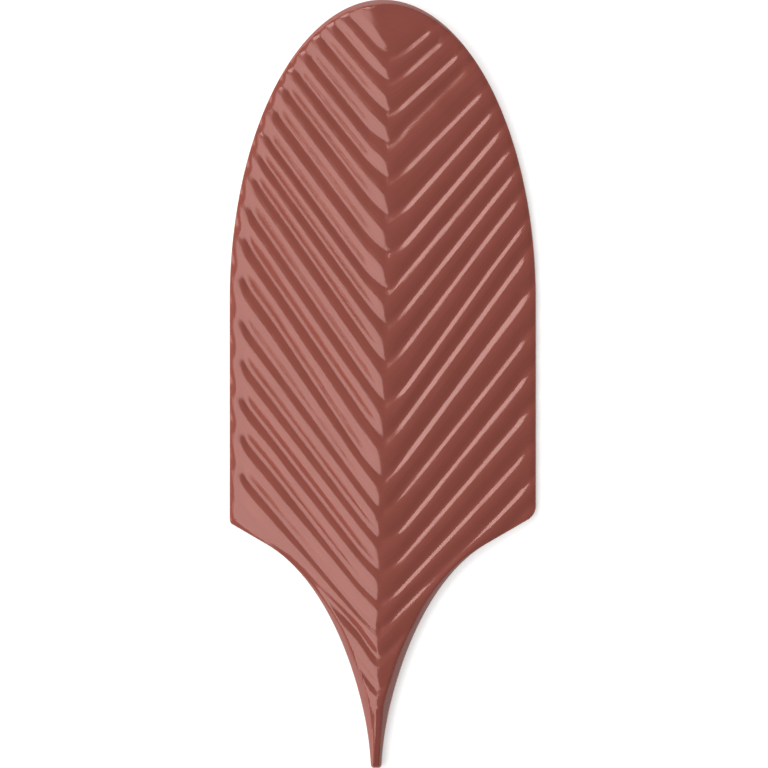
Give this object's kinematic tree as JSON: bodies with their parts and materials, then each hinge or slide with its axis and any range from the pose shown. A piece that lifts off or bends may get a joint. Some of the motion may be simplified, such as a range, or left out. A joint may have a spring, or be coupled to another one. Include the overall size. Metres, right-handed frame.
{
  "type": "glazed ceramic wall tile",
  "caption": "Feather-shaped glazed wall tile with a domed head, hollow shoulders running down to a slender stem, and rounded ribs fanning down to a raised spine",
  "frame": {"origin": "middle of the flat back of the tile, where the back lies on the floor or on the wall bed", "axes": "+X across the tile to the right, +Y along the tile towards the domed head, +Z out of the ribbed face"},
  "size_m": [0.12, 0.3, 0.0126],
  "materials": {
    "glaze": "glossy terracotta-red glaze over the face and walls, bare fired body on the back"
  },
  "bodies": {
    "root": {"wall_tile": "glaze"}
  },
  "joints": []
}
